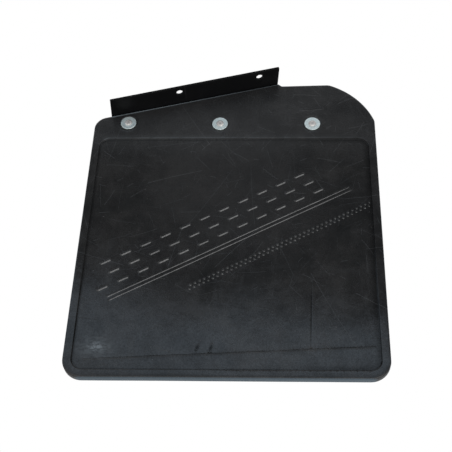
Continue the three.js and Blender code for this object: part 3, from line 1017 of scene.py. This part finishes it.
def rivet(side, x, z, body_material, mandrel_material):
    """A set blind rivet and the mandrel stub left inside it."""
    seat = WASHER_SINK - CLEARANCE - WASHER_THICKNESS - CLEARANCE / 2
    tail_start = LEG_FRONT + STEEL + CLEARANCE / 2
    tail_end = tail_start + TAIL_LENGTH
    crown = seat - HEAD_HEIGHT
    bore = MANDREL_RADIUS + MANDREL_GAP
    socket = MANDREL_HEAD_RADIUS + MANDREL_GAP
    body = rounded_profile([
        (SHANK_RADIUS, seat, 0.05),
        (HEAD_RADIUS, seat, 0.1),
        (HEAD_RADIUS, seat - HEAD_EDGE, 0.25),
        (CROWN_RADIUS, crown + CROWN_FALL, CROWN_ROUNDING),
        (bore, crown, 0.25),
        (bore, tail_end - SOCKET_TAPER_START, 0.1),
        (socket, tail_end - SOCKET_DEPTH, 0.1),
        (socket, tail_end, 0.1),
        (TAIL_RADIUS - TAIL_WALL, tail_end, 0.3),
        (TAIL_RADIUS, tail_start + TAIL_SHOULDER, 1.5),
        (TAIL_RADIUS, tail_start, 0.5),
        (SHANK_RADIUS, tail_start, 0.05),
    ])
    stub_front, stub_back = crown + MANDREL_SINK, tail_end + 1
    stub = rounded_profile([
        (0, stub_front, 0),
        (MANDREL_RADIUS, stub_front, 0.12),
        (MANDREL_RADIUS, tail_end - 2.8, 0.2),
        (MANDREL_HEAD_RADIUS, tail_end - 1.7, 0.3),
        (MANDREL_HEAD_RADIUS, tail_end + 0.2, 0.5),
        (0, stub_back, 0),
    ])
    stub = [(0, stub_front)] + [pair for pair in stub if pair[0] > 0.01] + [(0, stub_back)]
    return (
        turned(f"rivet_{side}", body, x, z, body_material, 64),
        turned(f"mandrel_{side}", stub, x, z, mandrel_material, 40, closed=False),
    )


# ---------------------------------------------------------------- assembly


def rivet_places():
    """The (x, z) of each rivet in the flap's own frame, from the frame's washers."""
    places = []
    for side in SIDES:
        low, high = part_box(f"front_washer_{side}")
        middle = (np.array((low + high) / 2) - CORNER) / MM
        places.append((middle[0], middle[2]))
    return places


def standing_for(piece, body, slot, *nodes):
    """Puts a finished piece on its body in place of the CAD nodes it stands for."""
    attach(piece, body)
    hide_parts(*nodes)


def build_object():
    """Makes every piece, and puts the bracket, washers and rivets on the body that they move with; the flap
    is left unparented.
    """
    rivets = rivet_places()
    metals = {name: bare_metal(name, *look) for name, look in METALS.items()}
    flap = rubber_flap(moulded_rubber(), rivets)
    joint = frame["joints"][0]
    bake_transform(flap)
    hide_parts("rubber_top_band", "rubber_swinging_panel")
    held = joint["parent"]
    bracket = folded_bracket(black_painted_steel(), rivets)
    standing_for(bracket, held, "black_painted_steel", "mounting_bracket")
    for side, (x, z) in zip(SIDES, rivets):
        plated = washer(side, x, z, metals["zinc_plated_steel"])
        standing_for(plated, held, "zinc_plated_steel", f"front_washer_{side}")
        body, stub = rivet(side, x, z, metals["rivet_aluminium"], metals["mandrel_steel"])
        standing_for(body, held, "rivet_aluminium", f"rivet_body_{side}")
        standing_for(stub, held, "mandrel_steel", f"rivet_mandrel_{side}")


# ---------------------------------------------------------------- studio


def make_camera():
    """The camera, low in front of the flap and looking up at it."""
    data = bpy.data.cameras.new("camera")
    data.lens = LENS
    data.sensor_width = SENSOR
    camera = bpy.data.objects.new("camera", data)
    right = CAMERA_FORWARD.cross(CAMERA_UP).normalized()
    up = right.cross(CAMERA_FORWARD).normalized()
    turn = Matrix((right, up, -CAMERA_FORWARD.normalized())).transposed().to_4x4()
    camera.matrix_world = Matrix.Translation(CAMERA_PLACE) @ turn
    bpy.context.scene.collection.objects.link(camera)
    bpy.context.scene.camera = camera


def soft_light(name, place, target, size, power):
    """A disk of light that faces the target and isn't seen by the camera."""
    data = bpy.data.lights.new(name, "AREA")
    data.shape = "DISK"
    data.size = size
    data.energy = power
    light = bpy.data.objects.new(name, data)
    light.location = place
    light.rotation_mode = "QUATERNION"
    light.rotation_quaternion = (Vector(target) - Vector(place)).to_track_quat("-Z", "Y")
    light.visible_camera = False
    bpy.context.scene.collection.objects.link(light)


def make_world():
    """Plain white for the camera; for the object, a room that is dim but for its glows.

    The room is pale behind the object. In front of it there is a low glow and a pale ceiling.
    """
    world = bpy.data.worlds.new("studio")
    world.use_nodes = True
    graph = Graph(world.node_tree)
    graph.tree.nodes.clear()
    direction = graph.node("ShaderNodeTexCoord", {}, "Generated")
    x, y, z = graph.apart(direction)
    tilted = graph.vector("DOT_PRODUCT", direction, GLOW_TOP_TILT, output=1)
    peak = graph.fade(x, *GLOW_SIDE_EDGE, GLOW_LEFT_LEVEL, GLOW_RIGHT_LEVEL)
    glow = graph.fade(z, *GLOW_RISE_EDGE, GLOW_LOW_LEVEL, peak)
    room = graph.fade(tilted, *GLOW_TOP_EDGE, glow, ROOM_LEVEL)
    room = graph.fade(z, *CEILING_EDGE, room, CEILING_LEVEL)
    level = graph.fade(y, *BEHIND_EDGE, room, BEHIND_LEVEL)
    tinted = graph.fade(z, *GLOW_TINT_EDGE)
    tinted = graph.fade(tilted, *GLOW_TOP_EDGE, tinted, 0)
    tint = graph.mix(tinted, ROOM_TINT, GLOW_TINT)
    lighting = graph.node("ShaderNodeBackground", {"Color": tint, "Strength": level})
    seen = graph.node("ShaderNodeBackground", {"Color": (1, 1, 1)})
    by_camera = graph.node("ShaderNodeLightPath", {}, "Is Camera Ray")
    chosen = graph.node("ShaderNodeMixShader", {0: by_camera, 1: lighting, 2: seen})
    graph.give(graph.tree.nodes.new("ShaderNodeOutputWorld").inputs[0], chosen)
    bpy.context.scene.world = world


def make_floor():
    """A level floor below the camera that reaches out of sight."""
    mesh = bpy.data.meshes.new("floor")
    height = CAMERA_PLACE.z - FLOOR_DROP
    corners = [(a * FLOOR_REACH, b * FLOOR_REACH, height) for a, b in ((-1, -1), (1, -1), (1, 1), (-1, 1))]
    mesh.from_pydata(corners, [], [(0, 1, 2, 3)])
    mesh.materials.append(pale_floor())
    floor = bpy.data.objects.new("floor", mesh)
    bpy.context.scene.collection.objects.link(floor)


make_camera()
make_world()
make_floor()
middle = (cad_box[0] + cad_box[1]) / 2
for name, place, size, power in LIGHTS:
    soft_light(name, place, middle, size, power)
bpy.context.scene.view_settings.view_transform = "Standard"
build_object()
